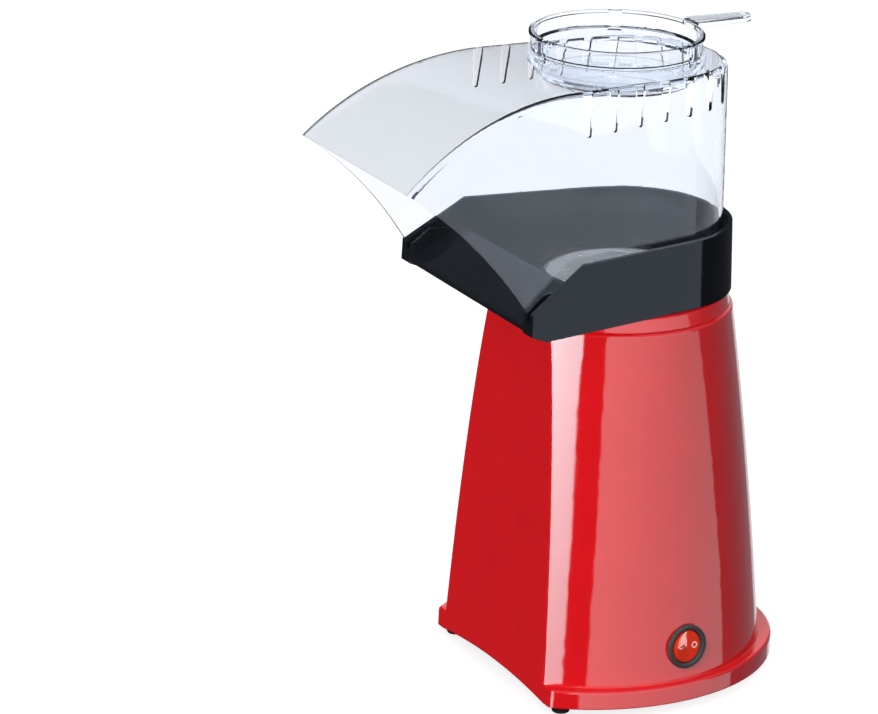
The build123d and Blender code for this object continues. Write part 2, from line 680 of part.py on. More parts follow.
with BuildPart() as motor_mount:
    with BuildSketch(Plane.XY.offset(SPIDER_BOTTOM)):
        with Locations((0, POPPING_Y)):
            Circle(MOTOR_R + 3)
            Circle(4.0, mode=Mode.SUBTRACT)
            with PolarLocations(MOTOR_SCREW_R, 2, start_angle=30):
                Circle(1.6, mode=Mode.SUBTRACT)
        for angle in POST_ANGLES:
            with BuildSketch(mode=Mode.PRIVATE) as arm:
                SlotCenterToCenter(POST_RING_R - MOTOR_R + 4, 9)
            turn = radians(angle)
            centre = (POST_RING_R + MOTOR_R - 4) / 2
            with Locations(Location((centre * cos(turn), POPPING_Y + centre * sin(turn)), angle)):
                add(arm.sketch)
            with Locations((POST_RING_R * cos(turn), POPPING_Y + POST_RING_R * sin(turn))):
                Circle(1.9, mode=Mode.SUBTRACT)
    extrude(amount=SPIDER_THICK)
motor_mount.part.label = "motor_mount"
export_step(motor_mount.part, "parts/motor_mount.step")

with BuildPart() as shroud_screws:
    for angle in POST_ANGLES:
        turn = radians(angle)
        spot = (POST_RING_R * cos(turn), POPPING_Y + POST_RING_R * sin(turn))
        extrude(disc(SPIDER_BOTTOM + SPIDER_THICK + 3, 3.0, spot), amount=2.0)
        extrude(disc(SPIDER_BOTTOM + SPIDER_THICK + 3, 1.35, spot), amount=-14)
shroud_screws.part.label = "shroud_screws"
export_step(shroud_screws.part, "parts/shroud_screws.step")

with BuildPart() as motor_can:
    can_outline = [
        (4.6, MOTOR_TOP),
        (MOTOR_R, MOTOR_TOP),
        (MOTOR_R, MOTOR_BOTTOM),
        (MOTOR_R - 1.2, MOTOR_BOTTOM),
        (MOTOR_R - 1.2, MOTOR_TOP - 1.2),
        (4.6, MOTOR_TOP - 1.2),
    ]
    revolve(outline_on(POPPING_PLANE, can_outline), axis=POPPING_AXIS)
    with BuildSketch(Plane.XY.offset(MOTOR_TOP)):
        with Locations((0, POPPING_Y)):
            with PolarLocations(MOTOR_SCREW_R, 2, start_angle=30):
                Circle(1.3)
    extrude(amount=-2, mode=Mode.SUBTRACT)
motor_can.part.label = "motor_can"
export_step(motor_can.part, "parts/motor_can.step")

with BuildPart() as motor_magnets:
    with BuildSketch(Plane.XY.offset(MOTOR_BOTTOM + 5)):
        with Locations((0, POPPING_Y)):
            Circle(MOTOR_R - 1.3)
            Circle(MOTOR_R - 4.3, mode=Mode.SUBTRACT)
            Rectangle(60, 10, mode=Mode.SUBTRACT)
    extrude(amount=20)
motor_magnets.part.label = "motor_magnets"
export_step(motor_magnets.part, "parts/motor_magnets.step")

with BuildPart() as motor_end_cap:
    cap_outline = [
        (BUSH_R + 0.02, MOTOR_BOTTOM - 3.0),
        (MOTOR_R - 0.6, MOTOR_BOTTOM - 3.0),
        (MOTOR_R - 0.6, MOTOR_BOTTOM - 0.1),
        (BUSH_R + 0.02, MOTOR_BOTTOM - 0.1),
    ]
    revolve(outline_on(POPPING_PLANE, cap_outline), axis=POPPING_AXIS)
motor_end_cap.part.label = "motor_end_cap"
export_step(motor_end_cap.part, "parts/motor_end_cap.step")

with BuildPart() as motor_bushes:
    for foot, top in ((MOTOR_BOTTOM - 3.0, MOTOR_BOTTOM + 1.0), (MOTOR_TOP - 4.0, MOTOR_TOP + 1.5)):
        bush_outline = [
            (SHAFT_R + 0.04, foot),
            (BUSH_R, foot),
            (BUSH_R, top),
            (SHAFT_R + 0.04, top),
        ]
        revolve(outline_on(POPPING_PLANE, bush_outline), axis=POPPING_AXIS)
motor_bushes.part.label = "motor_bushes"
export_step(motor_bushes.part, "parts/motor_bushes.step")

with BuildPart() as motor_screws:
    for turn in (30, 210):
        spot = (MOTOR_SCREW_R * cos(radians(turn)), POPPING_Y + MOTOR_SCREW_R * sin(radians(turn)))
        extrude(disc(SPIDER_BOTTOM + SPIDER_THICK, 2.6, spot), amount=1.6)
        extrude(disc(SPIDER_BOTTOM + SPIDER_THICK, 1.25, spot), amount=-5.5)
motor_screws.part.label = "motor_screws"
export_step(motor_screws.part, "parts/motor_screws.step")

with BuildPart() as motor_shaft:
    extrude(disc(MOTOR_BOTTOM - 2.0, SHAFT_R), amount=FAN_TOP + 2 - MOTOR_BOTTOM + 2)
motor_shaft.part.label = "motor_shaft"
export_step(motor_shaft.part, "parts/motor_shaft.step")

with BuildPart() as motor_rotor:
    with BuildSketch(Plane.XY.offset(MOTOR_BOTTOM + 6)):
        with Locations((0, POPPING_Y)):
            Circle(MOTOR_R - 5.2)
            with PolarLocations(MOTOR_R - 8.0, 3):
                Rectangle(7.5, 2.4, mode=Mode.SUBTRACT)
            Circle(SHAFT_R, mode=Mode.SUBTRACT)
    extrude(amount=18)
motor_rotor.part.label = "motor_rotor"
export_step(motor_rotor.part, "parts/motor_rotor.step")

with BuildPart() as fan_impeller:
    extrude(disc(FAN_BOTTOM, FAN_R), amount=1.6)
    extrude(disc(FAN_BOTTOM, 7.0), amount=FAN_TOP - FAN_BOTTOM)
    with BuildSketch(Plane.XY.offset(FAN_BOTTOM + 1.6)):
        for index in range(FAN_BLADES):
            turn = index * 360.0 / FAN_BLADES
            centre = (FAN_R + 13.0) / 2
            place = (centre * cos(radians(turn)), POPPING_Y + centre * sin(radians(turn)))
            with Locations(Location(place, turn + 28)):
                Rectangle(FAN_R - 15.0, 1.5)
    extrude(amount=FAN_TOP - FAN_BOTTOM - 1.6)
    extrude(disc(FAN_BOTTOM, SHAFT_R), amount=FAN_TOP - FAN_BOTTOM, mode=Mode.SUBTRACT)
fan_impeller.part.label = "fan_impeller"
export_step(fan_impeller.part, "parts/fan_impeller.step")

with BuildPart() as rectifier_board:
    with BuildSketch(Plane.XY.offset(MOTOR_BOTTOM - 7.0)):
        with Locations((0, POPPING_Y)):
            Circle(MOTOR_R - 1.0)
            Circle(3.0, mode=Mode.SUBTRACT)
            with PolarLocations(12.0, 4, start_angle=45):
                Circle(0.8, mode=Mode.SUBTRACT)
    extrude(amount=1.6)
rectifier_board.part.label = "rectifier_board"
export_step(rectifier_board.part, "parts/rectifier_board.step")

with BuildPart() as rectifier_diodes:
    for turn in (0, 90, 180, 270):
        way = Vector(cos(radians(turn)), sin(radians(turn)), 0)
        across = Vector(-way.Y, way.X, 0)
        start = Vector(0, POPPING_Y, MOTOR_BOTTOM - 8.6) + way * 9.5 - across * 2.6
        with BuildSketch(Plane(origin=start, z_dir=across)):
            Circle(1.5)
        extrude(amount=5.2)
rectifier_diodes.part.label = "rectifier_diodes"
export_step(rectifier_diodes.part, "parts/rectifier_diodes.step")

# ---------------------------------------------------------------- internal leads
for lead_name, route, bends in LEADS:
    with BuildPart() as lead:
        with BuildLine() as run:
            FilletPolyline(*route, radius=bends)
        with BuildSketch(Plane(origin=run.line @ 0, z_dir=run.line % 0)):
            Circle(LEAD_R)
        sweep()
    lead.part.label = lead_name
    export_step(lead.part, f"parts/{lead_name}.step")

# ---------------------------------------------------------------- spout tray
with BuildPart() as chute_floor:
    floor_top = [
        (POPPING_Y + TRAY_R, CHUTE_FLOOR),
        (POPPING_Y - CHAMBER_MOUTH_R - 1.5, CHUTE_FLOOR),
        CHUTE_CREST,
        CHUTE_LIP,
    ]
    floor_under = [
        (CHUTE_LIP[0], CHUTE_LIP[1] - CHUTE_THICK),
        (CHUTE_CREST[0] - 0.2, CHUTE_CREST[1] - CHUTE_THICK * 1.35),
        (POPPING_Y - CHAMBER_MOUTH_R - 2.2, CHUTE_FLOOR - CHUTE_THICK),
        (POPPING_Y + TRAY_R, CHUTE_FLOOR - CHUTE_THICK),
    ]
    extrude(outline_on(SIDE_PLANE, floor_top + floor_under), amount=80, both=True)
    crest_edge = edges().filter_by(Axis.X).sort_by(Axis.Z)[-1]
    fillet(crest_edge, 1.5)
    inner_inset = TRAY_WALL + TRAY_GROOVE + TRAY_INNER_WALL / 2
    extrude(tray_outline(0, inner_inset), amount=300, mode=Mode.INTERSECT)

with BuildPart() as tray:
    extrude(tray_outline(TRAY_TOP, 0), amount=TRAY_BOTTOM - TRAY_TOP, taper=-TRAY_DRAFT)
    bottom_front = edges().filter_by(Axis.X).sort_by(Axis.Z)[0]
    chamfer(bottom_front, 3.6, 9.0, reference=faces().sort_by(Axis.Y)[0])
    slope = [
        (TRAY_SLOPE_START, TRAY_TOP),
        (TRAY_FRONT, TRAY_SLOPE_END_Z),
        (TRAY_FRONT - 5, TRAY_SLOPE_END_Z - 3),
        (TRAY_FRONT - 5, TRAY_TOP + 5),
        (TRAY_SLOPE_START, TRAY_TOP + 5),
    ]
    extrude(outline_on(SIDE_PLANE, slope), amount=90, both=True, mode=Mode.SUBTRACT)
    # Groove for the hood, open at the front.
    extrude(
        tray_outline(GROOVE_FLOOR, TRAY_WALL, TRAY_FRONT - 9), amount=40, mode=Mode.SUBTRACT
    )
    # Hollow underside; the sides stay closed at the spout end.
    extrude(
        tray_outline(TRAY_BOTTOM, TRAY_WALL, TRAY_FRONT + 5),
        amount=GROOVE_FLOOR - GROOVE_FLOOR_THICK - TRAY_BOTTOM,
        mode=Mode.SUBTRACT,
    )
    inner_face = TRAY_WALL + TRAY_GROOVE + TRAY_INNER_WALL
    extrude(
        tray_outline(TRAY_BOTTOM, inner_face, TRAY_FRONT - 9), amount=40, mode=Mode.SUBTRACT
    )
with BuildPart() as tray_inner_wall:
    extrude(
        tray_outline(TRAY_BOTTOM + 0.7, TRAY_WALL + TRAY_GROOVE),
        amount=TRAY_INNER_TOP - TRAY_BOTTOM - 0.7,
    )
    extrude(
        tray_outline(TRAY_BOTTOM, inner_face, TRAY_FRONT - 9), amount=40, mode=Mode.SUBTRACT
    )
    chamfer_drop = [
        (TRAY_FRONT + 9.3, TRAY_INNER_TOP),
        (TRAY_FRONT, TRAY_SLOPE_END_Z - 1.2),
        (TRAY_FRONT - 5, TRAY_SLOPE_END_Z - 4),
        (TRAY_FRONT - 5, TRAY_INNER_TOP + 5),
        (TRAY_FRONT + 9.3, TRAY_INNER_TOP + 5),
    ]
    extrude(outline_on(SIDE_PLANE, chamfer_drop), amount=90, both=True, mode=Mode.SUBTRACT)
    under_lip = [
        (TRAY_FRONT - 5, TRAY_BOTTOM - 5),
        (TRAY_FRONT + 8.5, TRAY_BOTTOM - 5),
        (TRAY_FRONT + 8.5, TRAY_BOTTOM + 0.4),
        (TRAY_FRONT - 0.5, TRAY_BOTTOM + 3.8),
        (TRAY_FRONT - 5, TRAY_BOTTOM + 3.8),
    ]
    extrude(outline_on(SIDE_PLANE, under_lip), amount=90, both=True, mode=Mode.SUBTRACT)

with BuildPart() as spout_tray:
    add(tray.part)
    add(tray_inner_wall.part)
    add(chute_floor.part)
    extrude(disc(0, TRAY_HOLE_R), amount=300, mode=Mode.SUBTRACT)
spout_tray.part.label = "spout_tray"
export_step(spout_tray.part, "parts/spout_tray.step")

# ---------------------------------------------------------------- hood
with BuildPart() as hood:
    add(hood_form(0, 0, HOOD_EDGE_ROUND))
    add(hood_form(HOOD_WALL, 12, HOOD_EDGE_ROUND - HOOD_WALL), mode=Mode.SUBTRACT)
    # Upstanding ring that holds the cup, with shallow notches for the cup's lugs.
    extrude(disc(HOOD_TOP - HOOD_WALL, HOOD_RING_R, (0, 0)), amount=HOOD_RING_TOP - HOOD_TOP + HOOD_WALL)
    extrude(disc(HOOD_TOP - 20, HOOD_RING_R - HOOD_RING_WALL, (0, 0)), amount=40, mode=Mode.SUBTRACT)
    for angle in CUP_LUG_ANGLES:
        notch = Plane(origin=(0, 0, CUP_LUG_BOTTOM - CUP_LUG_NOTCH), x_dir=Vector(1, 0, 0).rotate(Axis.Z, angle))
        with BuildSketch(notch):
            with Locations((CUP_LUG_R - 3.0, 0)):
                Rectangle(7.2, CUP_LUG_WIDTH + 1.2)
        extrude(amount=30, mode=Mode.SUBTRACT)
    # Vents cut through the shoulder, narrowing down the wall to a round end.
    for place, reach, foot in vent_places():
        with BuildSketch(place.offset(-reach)):
            with BuildLine():
                Polyline(
                    (-VENT_BOTTOM_HALF, foot),
                    (-VENT_TOP_HALF, HOOD_TOP + 2),
                    (VENT_TOP_HALF, HOOD_TOP + 2),
                    (VENT_BOTTOM_HALF, foot),
                    close=True,
                )
            make_face()
            with Locations((0, foot)):
                Circle(VENT_BOTTOM_HALF)
        extrude(amount=reach + 3, mode=Mode.SUBTRACT)
hood.part.label = "hood"
export_step(hood.part, "parts/hood.step")

# ---------------------------------------------------------------- measuring cup
with BuildPart() as measuring_cup:
    cup_outline = [
        (0, CUP_BOTTOM),
        (CUP_LOW_R - 3, CUP_BOTTOM),
        (CUP_LOW_R - 0.6, CUP_BOTTOM + 3),
        (CUP_LOW_R, CUP_STEP),
        (CUP_R, CUP_STEP),
        (CUP_R, CUP_TOP - 2),
        (CUP_RIM_R, CUP_TOP - 1.6),
        (CUP_RIM_R, CUP_TOP - 0.5),
        (CUP_RIM_R - 0.6, CUP_TOP),
        (CUP_R - CUP_WALL, CUP_TOP),
        (CUP_R - CUP_WALL, CUP_STEP + CUP_WALL),
        (CUP_LOW_R - CUP_WALL, CUP_STEP + CUP_WALL - 1),
        (CUP_LOW_R - CUP_WALL - 0.6, CUP_BOTTOM + 4),
        (CUP_LOW_R - CUP_WALL - 3, CUP_BOTTOM + CUP_WALL),
        (0, CUP_BOTTOM + CUP_WALL),
    ]
    revolve(outline_on(CUP_PLANE, cup_outline), axis=CUP_AXIS)
    # Lugs that key the cup to the ring: channels open to the inside and at the top.
    for angle in CUP_LUG_ANGLES:
        lug = Plane(origin=(0, 0, CUP_LUG_BOTTOM), x_dir=Vector(1, 0, 0).rotate(Axis.Z, angle))
        with BuildSketch(lug):
            with Locations((CUP_LUG_R - 2.3, 0)):
                Rectangle(4.6, CUP_LUG_WIDTH)
        extrude(amount=CUP_TOP - 1.0 - CUP_LUG_BOTTOM)
        with BuildSketch(lug.offset(1.6)):
            with Locations((CUP_LUG_R - 4.2, 0)):
                Rectangle(5.8, CUP_LUG_WIDTH - 2.8)
        extrude(amount=CUP_TOP - CUP_LUG_BOTTOM, mode=Mode.SUBTRACT)
    # Handle: a tapering channel blade with a hanging hole.
    for drop, trim, mode in ((HANDLE_DEEP, 0, Mode.ADD), (HANDLE_DEEP, HANDLE_WALL, Mode.SUBTRACT)):
        start = HANDLE_TOP if mode == Mode.ADD else HANDLE_TOP - HANDLE_WALL
        with BuildSketch(Plane.XY.offset(start)):
            with BuildLine():
                Polyline(
                    (-HANDLE_ROOT_HALF + trim, CUP_R + 0.1),
                    (-HANDLE_TIP_HALF + trim, HANDLE_TIP - HANDLE_TIP_HALF),
                    (HANDLE_TIP_HALF - trim, HANDLE_TIP - HANDLE_TIP_HALF),
                    (HANDLE_ROOT_HALF - trim, CUP_R + 0.1),
                    close=True,
                )
            make_face()
            with Locations((0, HANDLE_TIP - HANDLE_TIP_HALF)):
                Circle(HANDLE_TIP_HALF - trim)
        extrude(amount=-drop, mode=mode)
    with BuildSketch(Plane.XY.offset(HANDLE_TOP)):
        with Locations((0, HANDLE_TIP - HANDLE_TIP_HALF)):
            Circle(1.5)
    extrude(amount=-10, mode=Mode.SUBTRACT)
measuring_cup.part.label = "measuring_cup"
export_step(measuring_cup.part, "parts/measuring_cup.step")
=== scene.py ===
"""Looks for the hot-air popcorn maker: finishes, small details, stage, lights and camera.

Metres, in the CAD frame: +Z up, -Y towards the spout, +X the side with the switch.
"""

import math

import bmesh
import bpy
from mathutils import Matrix, Vector


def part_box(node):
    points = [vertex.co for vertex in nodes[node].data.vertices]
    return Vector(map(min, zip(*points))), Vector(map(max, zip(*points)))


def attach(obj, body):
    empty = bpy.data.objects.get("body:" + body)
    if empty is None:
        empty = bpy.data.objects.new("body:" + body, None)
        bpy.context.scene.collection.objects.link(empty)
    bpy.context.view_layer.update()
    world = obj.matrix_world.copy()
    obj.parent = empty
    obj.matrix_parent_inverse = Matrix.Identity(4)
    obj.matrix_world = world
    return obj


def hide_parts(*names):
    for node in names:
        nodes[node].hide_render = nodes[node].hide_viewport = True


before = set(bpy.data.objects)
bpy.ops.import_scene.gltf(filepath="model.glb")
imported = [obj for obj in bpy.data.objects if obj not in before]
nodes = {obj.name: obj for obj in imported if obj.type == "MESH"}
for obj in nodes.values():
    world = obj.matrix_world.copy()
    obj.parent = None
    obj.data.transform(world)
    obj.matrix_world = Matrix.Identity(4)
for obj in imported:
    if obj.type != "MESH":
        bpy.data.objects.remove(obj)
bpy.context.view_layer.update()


# ------------------------------------------------------------------ shader helpers
# Noise scales, in cycles per metre: changes of tone, and the waves of a large moulding.
CLOUD_SCALE = 38.0
RIPPLE_SCALE = 26.0


def new_material(name):
    """An empty node material, its tree and its Principled shader."""
    material = bpy.data.materials.new(name)
    material.use_nodes = True
    tree = material.node_tree
    tree.nodes.clear()
    output = tree.nodes.new("ShaderNodeOutputMaterial")
    shader = tree.nodes.new("ShaderNodeBsdfPrincipled")
    tree.links.new(shader.outputs["BSDF"], output.inputs["Surface"])
    return material, tree, shader


def object_noise(tree, scale, detail=3.0, stretch=(1, 1, 1)):
    """Noise in the piece's own coordinates, so that it moves with the piece."""
    place = tree.nodes.new("ShaderNodeTexCoord")
    mapping = tree.nodes.new("ShaderNodeMapping")
    mapping.inputs["Scale"].default_value = stretch
    noise = tree.nodes.new("ShaderNodeTexNoise")
    noise.inputs["Scale"].default_value = scale
    noise.inputs["Detail"].default_value = detail
    tree.links.new(place.outputs["Object"], mapping.inputs["Vector"])
    tree.links.new(mapping.outputs["Vector"], noise.inputs["Vector"])
    return noise.outputs["Fac"]


def ranged(tree, value, low, high):
    """The value's middle half spread over low to high."""
    spread = tree.nodes.new("ShaderNodeMapRange")
    spread.inputs["From Min"].default_value = 0.25
    spread.inputs["From Max"].default_value = 0.75
    spread.inputs["To Min"].default_value = low
    spread.inputs["To Max"].default_value = high
    tree.links.new(value, spread.inputs["Value"])
    return spread.outputs["Result"]


def two_tone(tree, value, dark, light):
    """A colour that runs between two tones with the value."""
    ramp = tree.nodes.new("ShaderNodeValToRGB")
    ramp.color_ramp.elements[0].position = 0.3
    ramp.color_ramp.elements[0].color = (*dark, 1)
    ramp.color_ramp.elements[1].position = 0.7
    ramp.color_ramp.elements[1].color = (*light, 1)
    tree.links.new(value, ramp.inputs["Fac"])
    return ramp.outputs["Color"]


def bumps(tree, shader, layers, edge=0.0):
    """Bump layers of (height value, depth in metres), one on the other, over edges softened by edge."""
    normal = None
    if edge:
        softened = tree.nodes.new("ShaderNodeBevel")
        softened.samples = 6
        softened.inputs["Radius"].default_value = edge
        normal = softened.outputs["Normal"]
    for value, depth in layers:
        bump = tree.nodes.new("ShaderNodeBump")
        bump.inputs["Strength"].default_value = 1.0
        bump.inputs["Distance"].default_value = depth
        tree.links.new(value, bump.inputs["Height"])
        if normal is not None:
            tree.links.new(normal, bump.inputs["Normal"])
        normal = bump.outputs["Normal"]
    tree.links.new(normal, shader.inputs["Normal"])


def shade(colour, factor):
    return tuple(min(1.0, channel * factor) for channel in colour)


def moulded(name, colour, roughness, grain, depth, tone=0.06, ripple=0.0, edge=0.0, specular=0.5):
    """A moulded or cast surface: grain, faint tone changes and uneven gloss."""
    material, tree, shader = new_material(name)
    cloud = object_noise(tree, CLOUD_SCALE)
    fine = object_noise(tree, grain, 4.0)
    dark, light = shade(colour, 1 - tone), shade(colour, 1 + tone)
    tree.links.new(two_tone(tree, cloud, dark, light), shader.inputs["Base Color"])
    tree.links.new(ranged(tree, fine, *roughness), shader.inputs["Roughness"])
    shader.inputs["Specular IOR Level"].default_value = specular
    layers = [(fine, depth)]
    if ripple:
        layers.insert(0, (object_noise(tree, RIPPLE_SCALE, 1.0), ripple))
    bumps(tree, shader, layers, edge)
    return material


def drawn_metal(name, colour, roughness, stretch, depth=0.00003, tone=0.1, metallic=1.0):
    """Metal with fine lines along one direction."""
    material, tree, shader = new_material(name)
    lines = object_noise(tree, 900.0, 2.0, stretch)
    cloud = object_noise(tree, 60.0)
    dark, light = shade(colour, 1 - tone), shade(colour, 1 + tone)
    tree.links.new(two_tone(tree, cloud, dark, light), shader.inputs["Base Color"])
    tree.links.new(ranged(tree, lines, *roughness), shader.inputs["Roughness"])
    shader.inputs["Metallic"].default_value = metallic
    bumps(tree, shader, [(lines, depth)])
    return material


def clear(name, tint, roughness, ripple):
    """Clear moulded plastic with the slight waviness of a large moulding."""
    material, tree, shader = new_material(name)
    shader.inputs["Base Color"].default_value = (*tint, 1)
    shader.inputs["Transmission Weight"].default_value = 1.0
    shader.inputs["IOR"].default_value = 1.45
    fine = object_noise(tree, 420.0, 3.0)
    tree.links.new(ranged(tree, fine, *roughness), shader.inputs["Roughness"])
    bumps(tree, shader, [(object_noise(tree, 22.0, 1.0), ripple)])
    return material


# ------------------------------------------------------------------ finishes by slot
RED = (0.70, 0.0065, 0.0105)
BLACK = (0.0042, 0.0050, 0.0066)
finishes = {}
finishes["red_gloss"] = moulded(
    "red_gloss", RED, (0.045, 0.085), 900.0, 0.000004, tone=0.03, ripple=0.00005, edge=0.001
)
finishes["black_gloss"] = moulded(
    "black_gloss", BLACK, (0.06, 0.12), 900.0, 0.000005, tone=0.08, ripple=0.00004, edge=0.0003, specular=0.36
)
finishes["clear_plastic"] = clear("clear_plastic", (0.905, 0.92, 0.95), (0.0, 0.03), 0.00012)
finishes["black_matte"] = moulded("black_matte", (0.02, 0.02, 0.022), (0.5, 0.68), 1500.0, 0.00006)
finishes["switch_black"] = moulded("switch_black", (0.055, 0.053, 0.053), (0.34, 0.46), 1300.0, 0.00002)
finishes["foot_rubber"] = moulded("foot_rubber", (0.014, 0.014, 0.014), (0.7, 0.9), 1600.0, 0.00005)
finishes["gasket_silicone"] = moulded("gasket_silicone", (0.5, 0.5, 0.48), (0.5, 0.7), 1100.0, 0.00003)
finishes["white_plastic"] = moulded("white_plastic", (0.76, 0.76, 0.73), (0.3, 0.42), 1000.0, 0.00002)
finishes["duct_plastic"] = moulded("duct_plastic", (0.06, 0.06, 0.066), (0.45, 0.6), 1200.0, 0.00004)
finishes["board"] = moulded("board", (0.28, 0.17, 0.05), (0.45, 0.6), 800.0, 0.00002, 0.18)
finishes["diode"] = moulded("diode", (0.02, 0.02, 0.02), (0.25, 0.35), 1300.0, 0.00001)
finishes["lead_insulation"] = moulded("lead_insulation", (0.66, 0.66, 0.62), (0.45, 0.6), 900.0, 0.00002)
finishes["mica"] = moulded("mica", (0.6, 0.52, 0.36), (0.35, 0.7), 260.0, 0.00005, 0.2)
finishes["magnet"] = moulded("magnet", (0.07, 0.07, 0.072), (0.6, 0.8), 900.0, 0.00005, 0.15)
finishes["screw_steel"] = drawn_metal("screw_steel", (0.62, 0.62, 0.6), (0.22, 0.4), (1, 1, 0.2))
finishes["shield_steel"] = drawn_metal("shield_steel", (0.6, 0.6, 0.6), (0.28, 0.45), (0.15, 0.15, 1))
finishes["motor_steel"] = drawn_metal("motor_steel", (0.64, 0.65, 0.66), (0.25, 0.4), (0.1, 0.1, 1))
finishes["coil_wire"] = drawn_metal("coil_wire", (0.3, 0.27, 0.24), (0.35, 0.6), (1, 1, 1), tone=0.25)
finishes["brass"] = drawn_metal("brass", (0.75, 0.55, 0.22), (0.22, 0.4), (1, 0.2, 1))
finishes["rotor"] = drawn_metal("rotor", (0.42, 0.2, 0.1), (0.3, 0.5), (0.2, 0.2, 1), 0.00008, 0.3)
finishes["chamber_aluminium"] = drawn_metal(
    "chamber_aluminium", (0.8, 0.81, 0.82), (0.16, 0.3), (0.12, 0.12, 1), 0.00002, metallic=0.82
)

# Middle of the rocker on the wall of the tower, and how much its face seems to dome, as height
# per distance squared.
ROCKER_MIDDLE = Vector((0.0769, 0.0102, 0.0326))
ROCKER_DOME = -7.5


def rocker_finish_and_painted_glow():
    """Red see-through plastic, with a face that mirrors as if it were slightly domed, and a faint painted
    glow, though no lamp is lit in it.
    """
    material, tree, shader = new_material("rocker_red")
    grain = object_noise(tree, 900.0, 3.0)
    facets = object_noise(tree, 190.0, 0.0)
    shader.inputs["Base Color"].default_value = (0.8, 0.035, 0.01, 1)
    shader.inputs["Transmission Weight"].default_value = 0.2
    # Painted glow: the rocker gives off a faint red light of its own, though it holds no lit lamp.
    shader.inputs["Emission Color"].default_value = (0.8, 0.06, 0.025, 1)
    shader.inputs["Emission Strength"].default_value = 0.12
    shader.inputs["IOR"].default_value = 1.5
    tree.links.new(ranged(tree, grain, 0.08, 0.16), shader.inputs["Roughness"])
    place = tree.nodes.new("ShaderNodeTexCoord")
    from_middle = tree.nodes.new("ShaderNodeVectorMath")
    from_middle.operation = "DISTANCE"
    from_middle.inputs[1].default_value = ROCKER_MIDDLE
    squared = tree.nodes.new("ShaderNodeMath")
    squared.operation = "MULTIPLY"
    domed = tree.nodes.new("ShaderNodeMath")
    domed.operation = "MULTIPLY"
    domed.inputs[1].default_value = ROCKER_DOME
    tree.links.new(place.outputs["Object"], from_middle.inputs[0])
    tree.links.new(from_middle.outputs["Value"], squared.inputs[0])
    tree.links.new(from_middle.outputs["Value"], squared.inputs[1])
    tree.links.new(squared.outputs["Value"], domed.inputs[0])
    layers = [(domed.outputs["Value"], 1.0), (facets, 0.00035), (grain, 0.000006)]
    bumps(tree, shader, layers, 0.0004)
    return material


finishes["rocker_red"] = rocker_finish_and_painted_glow()

for node in nodes.values():
    for holder in node.material_slots:
        holder.material = finishes[holder.material.name.split(".")[0]]

# Light reaches the tray through the clear pieces.
for name in ("hood", "measuring_cup"):
    nodes[name].visible_shadow = False


# Which pieces each light is for.
def gathered(name, members):
    """A collection of CAD pieces for light linking."""
    group = bpy.data.collections.new(name)
    for member in members:
        group.objects.link(nodes[member])
    return group


TOWER_PIECES = ["body_shell"]
QUIET_PIECES = ["switch_housing", "cord_gland", "feet", "base_plate"]
ROCKER_PIECES = ["switch_rocker"]
SHADOWLESS_PIECES = ["hood", "measuring_cup", "spout_tray"]
OTHER_PIECES = [name for name in nodes if name not in TOWER_PIECES + QUIET_PIECES + ROCKER_PIECES]
tower_lit = gathered("tower_lit", TOWER_PIECES)
rocker_lit = gathered("rocker_lit", ROCKER_PIECES)
rest_lit = gathered("rest_lit", OTHER_PIECES)
key_lit = gathered("key_lit", list(nodes))
low_lit = gathered("low_lit", TOWER_PIECES + QUIET_PIECES)
# The tray's shadow is left off the tower, like those of the clear pieces.
key_blocked = gathered("key_blocked", [name for name in nodes if name not in SHADOWLESS_PIECES])


# ------------------------------------------------------------------ small details
def add_piece(name, mesh, body, slot):
    """A new piece of the object that rides on a body and has a slot's finish."""
    mesh.materials.append(finishes[slot])
    piece = bpy.data.objects.new(name, mesh)
    bpy.context.scene.collection.objects.link(piece)
    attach(piece, body)
    key_lit.objects.link(piece)
    rest_lit.objects.link(piece)
    return piece


BAND_SECTION = [(-1, -1), (-1, 0.4), (-0.6, 1), (0.6, 1), (1, 0.4), (1, -1)]


def swept_ring(places, across, up, half_width, half_height):
    """A closed band with a bevelled top, swept round the places; across and up are per place."""
    count = len(BAND_SECTION)
    corners = []
    faces = []
    for place, side, lift in zip(places, across, up):
        for x, y in BAND_SECTION:
            corners.append(place + side * (x * half_width) + lift * (y * half_height))
    total = len(places)
    for step in range(total):
        after = (step + 1) % total
        for side in range(count):
            beside = (side + 1) % count
            faces.append(
                (step * count + side, after * count + side, after * count + beside, step * count + beside)
            )
    return corners, faces


def mesh_of(name, corners, faces):
    mesh = bpy.data.meshes.new(name)
    mesh.from_pydata(corners, [], faces)
    build = bmesh.new()
    build.from_mesh(mesh)
    bmesh.ops.recalc_face_normals(build, faces=build.faces)
    build.to_mesh(mesh)
    build.free()
    return mesh


# The rocker's own frame: its pivot, along its width, along its axis and out of its face.
ROCKER_TILT = math.radians(8)
panel_out = Vector((0.994, 0.083, 0.075)).normalized()
panel_across = Vector((-0.083, 0.994, 0)).normalized()
rocker_along = panel_out.cross(panel_across)
rocker_turned = Matrix.Rotation(ROCKER_TILT, 3, rocker_along)
rocker_across = rocker_turned @ panel_across
rocker_out = rocker_turned @ panel_out
ROCKER_PIVOT_DEPTH = 0.0022
ROCKER_RIDGE_HEIGHT = 0.00201
rocker_pivot = ROCKER_MIDDLE - panel_out * ROCKER_PIVOT_DEPTH
WING_MIDDLE = 0.0045
WING_HEIGHT = ROCKER_RIDGE_HEIGHT + math.tan(ROCKER_TILT) * WING_MIDDLE
MARK_LIFT = 0.00002
MARK_HALF_HEIGHT = 0.00005
RING_STEPS = 48
OFF_RADIUS, OFF_HALF_WIDTH = 0.0014, 0.0003
ON_HALF_LENGTH, ON_END_RADIUS, ON_HALF_WIDTH = 0.00095, 0.0002, 0.00019


